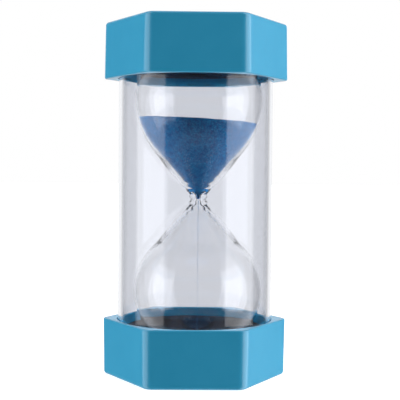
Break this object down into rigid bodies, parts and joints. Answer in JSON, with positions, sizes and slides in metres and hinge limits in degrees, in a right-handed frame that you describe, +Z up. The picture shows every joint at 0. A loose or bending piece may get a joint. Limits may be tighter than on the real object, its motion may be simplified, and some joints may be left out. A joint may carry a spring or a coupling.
{
  "type": "hourglass",
  "caption": "Sand timer: a waisted glass bulb of dark blue sand between foam pads in a clear tube, with a hexagonal plastic cap on each end.",
  "frame": {"origin": "centre of the base, on the surface it stands on", "axes": "+Z up along the tube, -Y out of one flat side of the hexagonal caps, +X towards a corner of them"},
  "size_m": [0.0832, 0.0734, 0.16],
  "materials": {
    "cap_plastic": "semi-gloss",
    "foam": "matt",
    "acrylic": "clear, polished",
    "bulb_glass": "clear, polished",
    "stopper": "matt",
    "sand": "granular"
  },
  "bodies": {
    "root": {"bottom_cap": "cap_plastic", "bottom_end_plate": "cap_plastic", "bottom_foam_disc": "foam", "bottom_foam_ring": "foam", "clear_tube": "acrylic", "glass_bulb": "bulb_glass", "fill_stopper": "stopper", "upper_sand": "sand", "falling_sand": "sand", "lower_sand": "sand", "top_foam_ring": "foam", "top_foam_disc": "foam", "top_end_plate": "cap_plastic", "top_cap": "cap_plastic"}
  },
  "joints": []
}
